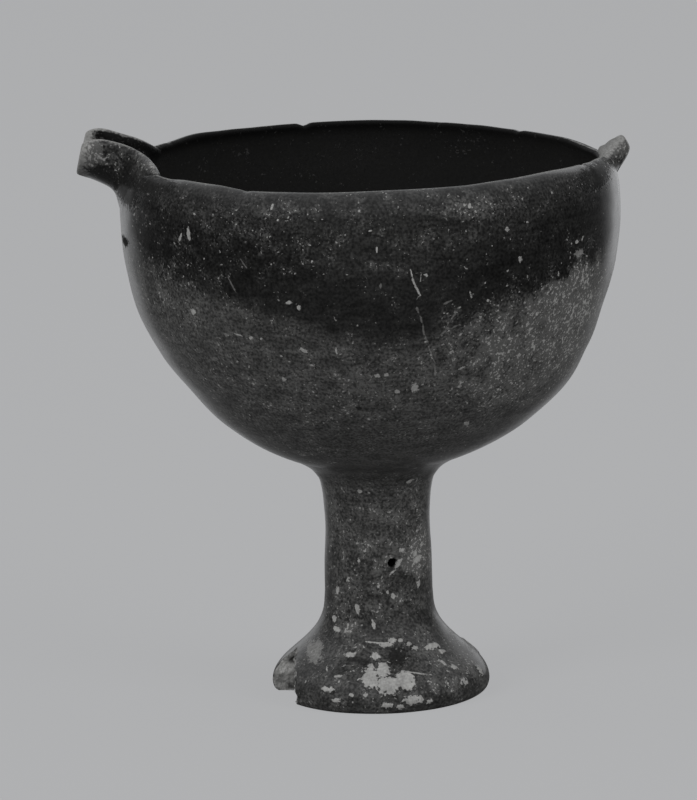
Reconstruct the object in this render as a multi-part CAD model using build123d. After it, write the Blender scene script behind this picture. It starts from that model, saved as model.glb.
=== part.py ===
from build123d import *

import math
import os

# Stemmed cup with an open trough spout and a pointed lug, hand-built from six clay pieces.
# Millimetres, +Z up, standing on Z = 0. The spout points to -X and the lug to +X.

# Bowl
BELLY_RADIUS = 74.4        # widest outside radius
BELLY_HEIGHT = 149.0       # height of the widest point above the table
BOWL_DEPTH = 80.5          # from the widest point down to the tip of the outside curve
BOWL_FULLNESS = 2.1        # 2 is an ellipse, more is squarer in the flank
BOWL_WALL = 5.0            # wall at the belly
FLOOR_WALL = 9.0           # thickness of the floor
RIM_RISE = 14.5            # mean height of the rim above the belly
RIM_TURN_IN = 3.8          # the outside turns in by this much from the belly to the rim
RIM_CURL = 2.6             # how late the wall turns in, above the belly
RIM_WALL = 3.8             # wall at the rim
RIM_TWIST = 1.1            # beside the lug the rim is this much higher in front and lower behind
LIP_ROUND = 1.3            # rounding of the two edges of the lip
LIP_SHARE = 0.45           # share of the wall that one rounded edge may take at most

# Trough spout
SPOUT_LENGTH = 16.4        # from the rim to the lower corner of the mouth
SPOUT_MOUTH_LEAN = 3.0     # the upper corner of the mouth stands back by this much
SPOUT_MOUTH_DROP = 4.3     # underside of the mouth, below the rim
SPOUT_MOUTH_RISE = 7.6     # edges of the trough at the mouth, above the rim
SPOUT_ROOT_RISE = 5.3      # edges of the trough where it leaves the bowl, above the rim
SPOUT_ARCH = 1.5           # extra height of the edges half-way
SPOUT_FALL = 7.5           # how far the underside falls from the mouth to the bowl
SPOUT_FALL_CURVE = 1.2     # 1 is a straight underside, more is hollow
SPOUT_MOUTH_HALF_WIDTH = 13.0
SPOUT_WAIST_HALF_WIDTH = 11.6
SPOUT_ROOT_HALF_WIDTH = 14.5
SPOUT_WALL = 4.4
CHANNEL_FALL = 5.5         # fall of the channel's floor from the mouth to the bowl
SWOOP_SPREAD = 15.0        # how far the rim's rise to the spout runs to each side
SWOOP_POWER = 4            # more makes the rise flatter at the spout and steeper beside it
SWOOP_RUN = 12.0            # the rise dies away over this distance from the spout into the bowl

# Pointed lug
LUG_LENGTH = 6.2           # from the rim out to the middle of the tip
LUG_OFFSET = 5.0           # the lug sits this far behind the spout's line
LUG_TIP_RISE = 2.2         # middle of the tip, above the rim
LUG_ROOT_DROP = 5.5        # middle of the root, below the rim
LUG_UPTURN = 1.5           # 1 is a straight tongue, more turns up later
LUG_TIP_HALF_WIDTH = 3.6
LUG_TIP_HALF_THICKNESS = 2.2
LUG_TIP_ROUND = 0.12       # share of the tongue that is rounded off at its tip
LUG_ROOT_HALF_WIDTH = 21.0
LUG_ROOT_HALF_THICKNESS = 6.0

# Stem
STEM_RADIUS = 16.2
STEM_WAIST_RADIUS = 15.7
STEM_BORE_RADIUS = 8.0
STEM_ROOF = 9.0            # clay between the bore and the bowl
PEG_RADIUS = 9.0           # peg on the stem's top, sunk in the bowl's floor
PEG_LENGTH = 3.5
SPIGOT_RADIUS = 12.2       # lower end of the stem, inside the foot
SPIGOT_LENGTH = 14.0
VENT_RADIUS = 1.5
VENT_HEIGHT = 42.3
VENT_AZIMUTH = 14.8        # degrees from the front towards +X

# Collar of smeared clay under the bowl
COLLAR_HEIGHT = 9.0        # below the bowl's seat on the stem
COLLAR_REACH = 27.5        # radius of its upper edge
COLLAR_EDGE = 0.7          # thickness left at its two edges
COLLAR_TURN = 1.6          # the curve turns out this far below the seat

# Foot
FOOT_RADIUS = 32.8
FOOT_BASE_RADIUS = 31.6    # outside radius of the resting ring
FOOT_NOSE_HEIGHT = 3.0     # height of the widest point
FOOT_SHOULDER_RADIUS = 30.4
FOOT_SHOULDER_HEIGHT = 8.6
FOOT_HEIGHT = 31.0
FOOT_COVE_PULL = 0.52      # how tightly the flare hugs the stem, 0 is a straight cone
FOOT_HOLLOW_RADIUS = 24.0

# Chip broken from the foot's edge
CHIP_INSET = 25.5          # distance of the broken face from the axis
CHIP_WIDTH = 18.0
CHIP_HEIGHT = 13.0

RIM_RADIUS = BELLY_RADIUS - RIM_TURN_IN
RIM_HEIGHT = BELLY_HEIGHT + RIM_RISE
SEAT_RADIUS = STEM_RADIUS - COLLAR_EDGE
CHANNEL_RUN_IN = 4 * RIM_WALL      # the gap for the channel is cut from this far inside the rim
CHANNEL_RUN_OUT = 2 * RIM_WALL
WALL_STEPS = 8
SHOULDER_LEVELS = (0, 0.4, 0.7, 1)  # shares of the rim's rise
RIM_STEPS = 14
RIM_TOLERANCE = 0.05
SPOUT_STATIONS = (-0.3, 0, 0.25, 0.5, 0.75, 1.05)  # shares of the way from the rim to the mouth
LUG_STATIONS = (0, 0.4, 0.7, 1)    # shares of the tongue before its rounded tip
TIP_STATIONS = (0.5, 0.2, 0)       # shares of the rounded tip that are still to come
TOP_MARGIN = 2 * SPOUT_MOUTH_RISE  # the raw wall stands this much over the rim before it is trimmed
TIP_CLOSING = 0.92         # a rounded tip closes down to a small flat, 1 would be a point


def bowl_height(radius, belly, depth):
    """Height of a bowl curve at a distance from the axis."""
    share = 1 - (radius / belly) ** BOWL_FULLNESS
    return BELLY_HEIGHT - depth * share ** (1 / BOWL_FULLNESS)


SEAT_HEIGHT = bowl_height(SEAT_RADIUS, BELLY_RADIUS, BOWL_DEPTH)


def flank_points(start_radius, belly, depth):
    """Points of the lower bowl curve, from a radius out to the belly."""
    power = 2 / BOWL_FULLNESS
    first = math.asin((start_radius / belly) ** (1 / power))
    turn = (math.pi / 2 - first) / WALL_STEPS
    angles = [first + turn * step for step in range(WALL_STEPS)]
    points = [(belly * math.sin(a) ** power, BELLY_HEIGHT - depth * math.cos(a) ** power) for a in angles]
    return points + [(belly, BELLY_HEIGHT)]


def shoulder_points(belly, rim):
    """Points of the wall from the belly in to the rim, then straight up past it."""
    rise = RIM_HEIGHT - BELLY_HEIGHT
    turns = [(level, (belly - rim) * level**RIM_CURL) for level in SHOULDER_LEVELS]
    points = [(belly - turn, BELLY_HEIGHT + rise * level) for level, turn in turns]
    upper = rim - RIM_WALL / 4
    return points + [(upper, RIM_HEIGHT + TOP_MARGIN / 2), (upper, RIM_HEIGHT + TOP_MARGIN)]


def wall_curves(start_radius, belly, depth, rim):
    """The two smooth curves of one side of the bowl's wall."""
    flank = Spline(flank_points(start_radius, belly, depth))
    shoulder = Spline(shoulder_points(belly, rim))
    return [flank, shoulder]


def turned(edges):
    """A solid turned about the cup's axis from a closed outline of radius and height."""
    return revolve(Plane.XZ * make_face(edges), Axis.Z)


def bowl_envelope():
    """The bowl as a full solid, used to seat the pieces that are pressed on from outside."""
    outside = wall_curves(SEAT_RADIUS, BELLY_RADIUS, BOWL_DEPTH, RIM_RADIUS)
    end = outside[-1] @ 1
    closing = Polyline(end, (0, end.Y), (0, SEAT_HEIGHT), (SEAT_RADIUS, SEAT_HEIGHT))
    return turned(outside + [closing])


def rim_level(x, y):
    """Height of the hand-levelled rim, with its twist beside the lug and its rise to the spout."""
    towards_lug = max(x / RIM_RADIUS, 0)
    twist = -2 * RIM_TWIST * towards_lug**2 * y / RIM_RADIUS
    edge = SPOUT_ROOT_HALF_WIDTH - SPOUT_WALL / 2
    crest = SPOUT_ROOT_RISE * (1 + (edge / SWOOP_SPREAD) ** SWOOP_POWER)
    rise = crest / (1 + (abs(y) / SWOOP_SPREAD) ** SWOOP_POWER)
    return RIM_HEIGHT + twist + rise * math.exp(-(x + RIM_RADIUS) / SWOOP_RUN)


def rim_trim():
    """Solid above the rim's wavy surface."""
    reach = BELLY_RADIUS + RIM_WALL
    steps = [reach * (2 * step / RIM_STEPS - 1) for step in range(RIM_STEPS + 1)]
    grid = [[(x, y, rim_level(x, y)) for y in steps] for x in steps]
    surface = Face.make_surface_from_array_of_points(grid, tol=RIM_TOLERANCE)
    return extrude(surface, amount=2 * TOP_MARGIN, dir=(0, 0, 1))


def along_spout(x):
    """Share of the way from the rim out to the mouth."""
    return (-x - RIM_RADIUS) / SPOUT_LENGTH


def spout_edge(x):
    """Height of the trough's two edges."""
    share = along_spout(x)
    arch = SPOUT_ARCH * 4 * share * (1 - share)
    return RIM_HEIGHT + SPOUT_ROOT_RISE + (SPOUT_MOUTH_RISE - SPOUT_ROOT_RISE) * share + arch


def spout_underside(x):
    """Height of the trough's underside."""
    return RIM_HEIGHT - SPOUT_MOUTH_DROP - SPOUT_FALL * max(1 - along_spout(x), 0) ** SPOUT_FALL_CURVE


def channel_floor(x):
    """Height of the channel's floor, falling from the mouth to the bowl."""
    return RIM_HEIGHT - SPOUT_MOUTH_DROP + SPOUT_WALL - CHANNEL_FALL * (1 - along_spout(x))


def spout_half_width(x):
    """Half the trough's outside width: wide at the root, drawn in, and flared at the mouth."""
    share = along_spout(x)
    straight = SPOUT_ROOT_HALF_WIDTH + (SPOUT_MOUTH_HALF_WIDTH - SPOUT_ROOT_HALF_WIDTH) * share
    middle = (SPOUT_ROOT_HALF_WIDTH + SPOUT_MOUTH_HALF_WIDTH) / 2
    return straight - (middle - SPOUT_WAIST_HALF_WIDTH) * 4 * share * (1 - share)


def trough_section(x):
    """Half-pipe section of the trough with rounded edges, square to X."""
    outer = spout_half_width(x)
    inner = outer - SPOUT_WALL
    top = spout_edge(x)
    spring = top - SPOUT_WALL / 2
    outside = ThreePointArc((-outer, spring), (0, spout_underside(x)), (outer, spring))
    near_edge = ThreePointArc((outer, spring), (outer - SPOUT_WALL / 2, top), (inner, spring))
    inside = ThreePointArc((inner, spring), (0, channel_floor(x)), (-inner, spring))
    far_edge = ThreePointArc((-inner, spring), (SPOUT_WALL / 2 - outer, top), (-outer, spring))
    return Plane.YZ.offset(x) * make_face([outside, near_edge, inside, far_edge])


def channel_section(x):
    """Section of the open channel, carried up past the trough's edges."""
    inner = spout_half_width(x) - SPOUT_WALL
    spring = spout_edge(x) - SPOUT_WALL / 2
    above = spring + 2 * TOP_MARGIN
    inside = ThreePointArc((-inner, spring), (0, channel_floor(x)), (inner, spring))
    sides = Polyline((inner, spring), (inner, above), (-inner, above), (-inner, spring))
    return Plane.YZ.offset(x) * make_face([inside, sides])


def make_bowl():
    """Pinched bowl with its waved lip, the gap for the channel and the socket for the stem's peg."""
    outside = wall_curves(SEAT_RADIUS, BELLY_RADIUS, BOWL_DEPTH, RIM_RADIUS)
    inside = wall_curves(0, BELLY_RADIUS - BOWL_WALL, BOWL_DEPTH - FLOOR_WALL, RIM_RADIUS - RIM_WALL)
    brim = Line(outside[-1] @ 1, inside[-1] @ 1)
    socket_top = SEAT_HEIGHT + PEG_LENGTH
    underside = Polyline(
        inside[0] @ 0,
        (0, socket_top),
        (PEG_RADIUS, socket_top),
        (PEG_RADIUS, SEAT_HEIGHT),
        (SEAT_RADIUS, SEAT_HEIGHT),
    )
    bowl = turned(outside + [brim] + inside + [underside])
    bowl -= rim_trim()
    lip = bowl.edges().filter_by(lambda edge: edge.bounding_box().min.Z > RIM_HEIGHT - 2 * LIP_ROUND)
    bowl = fillet(lip, min(LIP_ROUND, LIP_SHARE * RIM_WALL))
    stations = (CHANNEL_RUN_IN - RIM_RADIUS, -RIM_RADIUS, -RIM_RADIUS - CHANNEL_RUN_OUT)
    return bowl - loft([channel_section(x) for x in stations])


def make_spout(envelope):
    """Open trough, seated on the outside of the bowl and cut off at the mouth."""
    trough = loft([trough_section(-RIM_RADIUS - SPOUT_LENGTH * share) for share in SPOUT_STATIONS])
    lean = math.degrees(math.atan(SPOUT_MOUTH_LEAN / (SPOUT_MOUTH_DROP + SPOUT_MOUTH_RISE)))
    corner = (-RIM_RADIUS - SPOUT_LENGTH, 0, RIM_HEIGHT - SPOUT_MOUTH_DROP)
    mouth = Plane(corner, z_dir=(1, 0, 0)).rotated((0, lean, 0))
    return split(trough, mouth, keep=Keep.TOP) - envelope


def lug_section(share):
    """Oval section across the tongue, square to its rising middle line."""
    root = RIM_RADIUS - RIM_WALL
    run = LUG_LENGTH + RIM_WALL
    rise = LUG_ROOT_DROP + LUG_TIP_RISE
    upturn = share**LUG_UPTURN
    middle = (root + run * share, LUG_OFFSET, RIM_HEIGHT - LUG_ROOT_DROP + rise * upturn)
    slope = LUG_UPTURN * rise / run * share ** (LUG_UPTURN - 1)
    half_width = LUG_ROOT_HALF_WIDTH + (LUG_TIP_HALF_WIDTH - LUG_ROOT_HALF_WIDTH) * share
    half_thickness = LUG_ROOT_HALF_THICKNESS + (LUG_TIP_HALF_THICKNESS - LUG_ROOT_HALF_THICKNESS) * upturn
    into_tip = max(share - 1 + LUG_TIP_ROUND, 0) / LUG_TIP_ROUND
    size = math.sqrt(1 - TIP_CLOSING * into_tip**2)
    across = Plane(middle, x_dir=(0, 1, 0), z_dir=(1, 0, slope))
    return across * Ellipse(half_width * size, half_thickness * size)


def make_lug(envelope):
    """Pointed tongue, drawn from a broad root on the rim up to a blunt tip."""
    tongue = [(1 - LUG_TIP_ROUND) * share for share in LUG_STATIONS]
    tip = [1 - LUG_TIP_ROUND * share for share in TIP_STATIONS]
    return loft([lug_section(share) for share in tongue + tip]) - envelope


def make_stem():
    """Hollow stem with a spigot for the foot, a seat for the collar, a peg and a vent."""
    foot_ledge = FOOT_HEIGHT - SPIGOT_LENGTH
    collar_foot = SEAT_HEIGHT - COLLAR_HEIGHT
    roof = SEAT_HEIGHT - STEM_ROOF
    middle = (FOOT_HEIGHT + collar_foot) / 2
    shaft = ThreePointArc((STEM_RADIUS, FOOT_HEIGHT), (STEM_WAIST_RADIUS, middle), (STEM_RADIUS, collar_foot))
    upper = Polyline(
        (STEM_RADIUS, collar_foot),
        (SEAT_RADIUS, collar_foot),
        (SEAT_RADIUS, SEAT_HEIGHT),
        (PEG_RADIUS, SEAT_HEIGHT),
        (PEG_RADIUS, SEAT_HEIGHT + PEG_LENGTH),
        (0, SEAT_HEIGHT + PEG_LENGTH),
        (0, roof),
        (STEM_BORE_RADIUS, roof),
        (STEM_BORE_RADIUS, foot_ledge),
        (SPIGOT_RADIUS, foot_ledge),
        (SPIGOT_RADIUS, FOOT_HEIGHT),
        (STEM_RADIUS, FOOT_HEIGHT),
    )
    drill = Plane((0, 0, VENT_HEIGHT), z_dir=(0, -1, 0)) * extrude(Circle(VENT_RADIUS), 2 * STEM_RADIUS)
    return turned([shaft, upper]) - drill.rotate(Axis.Z, VENT_AZIMUTH)


def make_stem_collar(envelope):
    """Coil smeared into a hollow curve between the stem and the bowl's underside."""
    low = SEAT_HEIGHT - COLLAR_HEIGHT
    under_bowl = bowl_height(COLLAR_REACH, BELLY_RADIUS, BOWL_DEPTH)
    edge = (COLLAR_REACH, under_bowl - COLLAR_EDGE)
    cove = Bezier((STEM_RADIUS, low), (STEM_RADIUS, SEAT_HEIGHT - COLLAR_TURN), edge)
    closing = Polyline(
        edge,
        (COLLAR_REACH, under_bowl + COLLAR_EDGE),
        (SEAT_RADIUS, under_bowl + COLLAR_EDGE),
        (SEAT_RADIUS, low),
        (STEM_RADIUS, low),
    )
    return turned([cove, closing]) - envelope


def make_foot():
    """Flared foot, hollow below, with a socket for the stem and a chip out of its edge."""
    foot_ledge = FOOT_HEIGHT - SPIGOT_LENGTH
    shoulder = Vector(FOOT_SHOULDER_RADIUS, FOOT_SHOULDER_HEIGHT)
    nose = ThreePointArc((FOOT_BASE_RADIUS, 0), (FOOT_RADIUS, FOOT_NOSE_HEIGHT), shoulder)
    run_in = (FOOT_SHOULDER_RADIUS - STEM_RADIUS) * FOOT_COVE_PULL
    run_up = (FOOT_HEIGHT - FOOT_SHOULDER_HEIGHT) * FOOT_COVE_PULL
    neck = Vector(STEM_RADIUS, FOOT_HEIGHT)
    flare = Bezier(shoulder, shoulder + (nose % 1) * (run_in / -(nose % 1).X), neck - Vector(0, run_up), neck)
    inside = Polyline(
        (STEM_RADIUS, FOOT_HEIGHT),
        (SPIGOT_RADIUS, FOOT_HEIGHT),
        (SPIGOT_RADIUS, foot_ledge),
        (STEM_BORE_RADIUS, foot_ledge),
        (FOOT_HOLLOW_RADIUS, 0),
        (FOOT_BASE_RADIUS, 0),
    )
    foot = turned([nose, flare, inside])
    depth = FOOT_RADIUS - CHIP_INSET
    chip = Box(2 * depth, CHIP_WIDTH, CHIP_HEIGHT, align=(Align.MAX, Align.MAX, Align.MIN))
    return foot - Pos(-CHIP_INSET, 0, 0) * chip


envelope = bowl_envelope()
pieces = {
    "bowl": make_bowl(),
    "spout": make_spout(envelope),
    "lug": make_lug(envelope),
    "stem": make_stem(),
    "stem_collar": make_stem_collar(envelope),
    "foot": make_foot(),
}

# The origin lies under the middle of the whole cup, spout and lug included.
left = pieces["spout"].bounding_box().min.X
right = pieces["lug"].bounding_box().max.X
to_middle = Pos(-(left + right) / 2, 0, 0)

os.makedirs("parts", exist_ok=True)
for name, piece in pieces.items():
    export_step(to_middle * piece, f"parts/{name}.step")
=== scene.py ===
import math

import bmesh
import bpy
from mathutils import Matrix, Vector, noise
from mathutils.geometry import interpolate_bezier


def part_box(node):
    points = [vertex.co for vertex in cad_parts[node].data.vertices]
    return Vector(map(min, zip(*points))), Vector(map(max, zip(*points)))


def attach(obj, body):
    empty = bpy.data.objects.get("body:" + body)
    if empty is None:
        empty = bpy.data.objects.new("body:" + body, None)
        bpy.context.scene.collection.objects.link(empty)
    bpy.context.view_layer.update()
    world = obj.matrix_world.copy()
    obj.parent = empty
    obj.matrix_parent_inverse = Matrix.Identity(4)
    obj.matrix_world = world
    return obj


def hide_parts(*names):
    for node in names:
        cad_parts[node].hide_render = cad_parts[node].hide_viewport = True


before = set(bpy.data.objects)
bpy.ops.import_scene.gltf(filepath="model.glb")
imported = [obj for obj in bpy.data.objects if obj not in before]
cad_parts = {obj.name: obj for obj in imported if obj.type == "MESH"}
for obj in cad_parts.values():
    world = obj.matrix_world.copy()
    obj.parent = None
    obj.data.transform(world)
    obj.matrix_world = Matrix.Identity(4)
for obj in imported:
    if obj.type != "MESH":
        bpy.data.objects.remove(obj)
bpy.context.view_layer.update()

# The cup is shaped in millimetres about its own axis, with the front at -Y, and then put into the frame.
MM = 0.001


def node_box(node):
    """Lowest and highest corner of a solid, in millimetres."""
    low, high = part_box(node)
    return low / MM, high / MM


BOWL_LOW, BOWL_HIGH = node_box("bowl")
AXIS_X = (BOWL_LOW.x + BOWL_HIGH.x) / 2
TO_FRAME = Matrix.Scale(MM, 4) @ Matrix.Translation((AXIS_X, 0, 0))

# Bowl
BELLY_RADIUS = (BOWL_HIGH.y - BOWL_LOW.y) / 2
BELLY_HEIGHT = 149.0
SEAT_HEIGHT = BOWL_LOW.z
SEAT_RADIUS = 15.5
BOWL_DEPTH = 80.5
BOWL_FULLNESS = 2.1
BOWL_WALL = 5.0
FLOOR_WALL = 9.0
RIM_RISE = 14.5
RIM_HEIGHT = BELLY_HEIGHT + RIM_RISE
RIM_TURN_IN = 3.8
RIM_CURL = 2.6
RIM_WALL = 3.8
LIP_HEIGHT = 1.8
LIP_STEPS = 12
LIP_EDGE = 1.3
# Height of the hand-levelled rim over its mean, by azimuth from the front towards the lug
RIM_WAVE = (
    (-180, -0.3), (-150, -0.3), (-140, 0.0), (-130, 0.4), (-119, -0.2), (-100, 0.2), (-75, 0.0),
    (-59, -0.4), (-50, 0.3), (-40, 0.2), (-30, -0.7), (-17, -0.5), (7, 0.05), (22, 0.05), (34, 0.5),
    (48, 0.8), (62, 0.3), (72, -0.4), (90, -1.9), (106, -2.6), (125, -2.0), (140, -1.8), (152, -1.3),
    (160, -1.0), (172, -0.5), (180, -0.3),
)
# How pale the lip is worn, by azimuth
LIP_WEAR = (
    (-180, 0.5), (-150, 0.75), (-125, 0.5), (-85, 0.9), (-55, 0.95), (-20, 0.8), (15, 0.85), (45, 1.0),
    (85, 1.0), (112, 0.9), (135, 0.5), (165, 0.7), (180, 0.5),
)
# Nicks in the lip: azimuth, half width along the lip and depth
LIP_NICKS = ((-163, 1.6, 0.9), (138, 1.2, 0.5), (-31, 1.2, 0.3), (64, 1.4, 0.4), (-118, 1.0, 0.35))
# The bowl was never quite true: sideways shift of its middle by height
BOWL_SWAY = ((72, 0.0), (84, 0.8), (95, 1.4), (106, 0.3), (118, -0.6), (132, -0.1), (142, 0.0))
# Unevenness left by the potter's hands: depth and width of the broad dents and of the finger marks
DENT_DEPTH, DENT_WIDTH = 0.38, 33
FINGER_DEPTH, FINGER_WIDTH = 0.13, 10
FINGER_SHIFT = Vector((7, 3, 1))

# Gap in the wall for the spout, hidden inside the spout's own clay
GAP_HALF_WIDTH = 11.5
GAP_TOP = 167.0
GAP_DEPTH = 12.0

# Spout and lug
SPOUT_WALL = 4.2
SPOUT_LIP = 2.1
SPOUT_SIDES = 12
LUG_SIDES = 16
ROUNDING_LEVELS = 3

# Stem, collar and foot, with their outlines as radius and height
STEM_RADIUS = 16.2
STEM_SHAFT = ((16.1, 40), (15.7, 52))
STEM_BORE = 8.0
STEM_ROOF = 61.0
PEG_RADIUS = 9.0
PEG_LENGTH = 3.4
SPIGOT_RADIUS = 12.2
SPIGOT_LOW = 17.0
FOOT_NECK = node_box("foot")[1].z
COLLAR_FOOT = node_box("stem_collar")[0].z
COLLAR_COVE = ((17.0, 65), (18.1, 67), (20.0, 69.2), (22.9, 71.2), (26.3, 73.0), (30.5, 75.2))
COLLAR_HIDDEN = ((30.5, 76.5), (SEAT_RADIUS, 72.0), (SEAT_RADIUS, COLLAR_FOOT))
FOOT_FLARE = (
    (16.8, 25.5), (18.4, 21.3), (20.7, 18), (23.6, 15), (27.0, 12.0), (30.2, 9.0), (32.2, 6.0),
    (32.8, 3.2), (32.2, 0.9), (31.2, 0.0),
)
FOOT_HOLLOW = ((25.0, 0.0), (23.6, 0.7), (19.0, 5.6))
TABLE_MARGIN = 0.01

# Vent in the stem. Vertices nearer to its edge than the snap are drawn onto it, and the faces sunk have
# their middle inside it by the slack.
VENT_RADIUS = 1.45
VENT_HEIGHT = 42.3
VENT_AZIMUTH = 14.8
VENT_DEPTH = 6.5
VENT_SNAP = 0.27
VENT_SLACK = 0.029

# Chip broken from the foot's edge, with one face at the inset, turned to the left, and one near the cup's
# middle, turned to the front. The noises that make them uneven have a depth and a width.
CHIP_INSET = 25.5
CHIP_INSET_WAVES = ((3.2, 4.3), (2.0, 1.7))
CHIP_SWAY = 2.6
CHIP_SWAY_WIDTH = 4.6
CHIP_SHIFT = Vector((5.3, 3.6, 0))
CHIP_SWAY_LIMIT = 0.8
CHIP_ROUGHNESS = 1.3
CHIP_GRAIN = ((1.0, 4.0), (0.7, 1.6))
CHIP_FADE = 0.2

# Crust on the foot: azimuth, height, half width round the foot, half height, fullness
CRUST_PATCHES = (
    (-6.3, 10.1, 3.2, 2.7, 1.1), (1.1, 11.9, 2.8, 2.4, 1.1), (3.3, 8.5, 4.1, 2.9, 1.1),
    (13.3, 9.4, 3.0, 2.3, 1.1), (3.9, 6.5, 2.4, 1.2, 1.1), (-4.2, 15.6, 1.6, 1.0, 0.9),
    (-7, 13.0, 1.2, 0.8, 0.9), (6, 18.3, 2.2, 0.7, 1.1), (11, 19.2, 1.8, 0.9, 1.1),
    (18, 19.2, 1.8, 0.5, 1.0), (24, 18.0, 1.5, 0.5, 1.0), (28, 16.8, 1.2, 0.6, 1.0),
    (46, 16.3, 3.2, 0.9, 1.1), (50, 14.5, 1.8, 0.6, 1.0), (44, 11.9, 0.9, 0.9, 0.9),
    (49.7, 10.6, 1.1, 0.8, 0.9), (50.3, 6.3, 1.9, 1.6, 0.9), (70.8, 7.3, 2.2, 2.0, 0.8),
    (2.8, 3.0, 1.9, 1.2, 1.0), (16.7, 3.9, 3.7, 1.5, 1.0), (10.1, 2.3, 1.6, 0.8, 1.0),
    (25.2, 2.9, 1.4, 1.0, 0.9), (-24.2, 4.0, 1.6, 1.0, 0.8), (-29.4, 6.8, 2.4, 0.7, 1.0),
    (112, 9.0, 5.0, 3.5, 1.0), (150, 15.0, 3.0, 2.0, 1.0), (-140, 6.5, 6.0, 2.6, 1.0),
    (-165, 18.0, 2.2, 1.6, 1.0),
)
CRUST_LOBES = ((0.45, 2.2), (0.35, 0.9))
CRUST_THICKNESS = 0.35
CRUST_EDGE = 0.25

# Marks on the front: x, z, half width, half height, turn in degrees.
# The back has the same kind, turned half round.
PALE_MARKS = (
    (-52.4, 149.6, 0.45, 1.8, -4), (-55.0, 148.0, 0.3, 1.2, 20), (-51.6, 126.4, 0.7, 0.9, -20),
    (-23.8, 131.9, 0.9, 0.5, -25), (-21.0, 130.4, 0.5, 0.6, 0), (-34.6, 120.4, 0.5, 0.5, 0),
    (-38.4, 121.0, 1.4, 0.22, 14), (-31.7, 120.3, 0.35, 0.35, 0), (-19.4, 117.3, 1.2, 0.55, 25),
    (-26.2, 115.2, 0.4, 0.3, 0), (-10.2, 117.5, 0.35, 1.0, 0), (-26.3, 107.7, 0.55, 0.7, -30),
    (0.8, 109.3, 0.9, 0.5, 0), (3.4, 109.6, 0.8, 0.4, -10), (6.1, 104.0, 0.7, 0.5, 0),
    (11.2, 104.9, 1.0, 1.3, 20), (25.1, 90.8, 0.8, 0.65, 0), (42.4, 141.5, 0.5, 0.8, 0),
    (33.1, 130.4, 0.4, 0.35, 0), (28.2, 158.4, 0.5, 0.6, 0), (15.5, 139.4, 0.35, 0.5, 0),
    (59.5, 143.3, 0.5, 0.6, 0), (-28.1, 159.2, 0.3, 0.9, 25), (-26.5, 155.7, 0.3, 0.3, 0),
    (-0.3, 153.0, 0.5, 0.3, -20), (1.5, 147.6, 0.25, 0.9, 0), (11.2, 140.4, 0.22, 1.3, -10),
    (11.9, 137.6, 0.28, 1.5, -20), (12.9, 135.2, 0.32, 1.6, -26), (13.7, 133.2, 0.28, 0.9, -10),
    (-5.0, 64.6, 0.6, 0.5, 0), (9.8, 67.0, 1.2, 0.45, -24), (-5.8, 42.9, 0.4, 0.5, 0),
    (0.0, 35.3, 0.6, 0.4, 0), (4.1, 32.1, 0.6, 0.75, -20), (2.5, 33.3, 0.45, 0.5, 0),
    (11.9, 34.5, 0.35, 1.0, 15), (11.7, 42.2, 1.3, 0.8, -35), (11.0, 44.0, 0.5, 0.8, 10),
    (5.9, 42.0, 0.6, 1.9, 28), (4.2, 39.5, 1.0, 0.35, -40), (7.1, 45.8, 0.8, 0.6, 0),
    (-12.4, 33.2, 0.5, 1.2, 10), (-6.6, 28.4, 0.7, 1.4, -8), (-1.9, 23.8, 0.45, 1.5, -17),
    (-13.6, 24.3, 0.6, 0.8, 0), (-13.0, 21.6, 1.0, 0.7, 0), (-16.8, 12.1, 0.8, 0.9, 0),
    (-12.8, 10.4, 1.1, 0.35, -12), (-8.8, 5.9, 0.7, 0.5, 0), (-4.7, 6.0, 0.6, 0.5, 0),
    (10.3, 11.0, 4.2, 0.16, 12), (-9.0, 15.7, 1.6, 0.6, -10), (-1.0, 18.9, 3.4, 0.2, 4),
)
FAINT_MARKS = (
    (12.9, 129.3, 0.3, 1.2, -20), (14.0, 126.4, 0.25, 1.5, -16), (14.7, 123.4, 0.25, 1.8, -8),
    (15.7, 120.2, 0.25, 1.6, -22), (16.9, 115.6, 0.22, 3.0, -14), (17.4, 110.2, 0.25, 2.2, 4),
    (23.3, 123.4, 2.0, 0.3, -14), (20.6, 121.9, 0.9, 0.3, -40), (23.4, 127.0, 0.3, 1.4, 35),
    (21.4, 131.0, 1.2, 0.3, -20), (-41.7, 120.5, 0.7, 0.5, 0), (-46.0, 112.0, 0.9, 0.6, 0),
    (2.4, 137.1, 0.3, 0.8, 0), (-40.0, 136.0, 0.2, 2.2, -28), (-36.5, 142.5, 0.2, 1.6, -35),
)
GREY_MARKS = ((60.1, 139.6, 1.3, 1.2, 0), (-20.0, 14.7, 2.2, 2.3, 10), (-18.4, 16.6, 1.2, 1.2, 30))
DARK_PITS = (
    (-5.7, 98.8, 0.8, 0.5, 0), (-72.4, 141.4, 1.2, 1.5, 0), (5.2, 15.3, 2.6, 2.3, 0),
    (46.5, 135.0, 0.5, 0.6, 0),
)
# Darker, matte places beside the spout and the lug, where they meet the bowl
DULL_PLACES = ((-71.5, 157.0, 4.2, 4.4, 0), (-62.5, 161.0, 6.0, 2.4, -12), (66.0, 160.0, 5.0, 3.6, 0))
# How pale each kind of mark is, below 0 for the dark ones
PALE, GREY, FAINT, DARK, DULL = 1.0, 0.55, 0.32, -1.0, -0.75
MARKS = tuple(
    (*mark, paleness)
    for marks, paleness in (
        (PALE_MARKS, PALE), (GREY_MARKS, GREY), (FAINT_MARKS, FAINT), (DARK_PITS, DARK), (DULL_PLACES, DULL)
    )
    for mark in marks
)
# Neighbouring marks are kept apart in two layers. FAR is no mark at all, and a margin round each mark
# stays bare.
MARK_LAYERS = ("marks", "more_marks")
MARK_MARGIN = 1.8
FAR = Vector((9, 9, 0))
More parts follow.
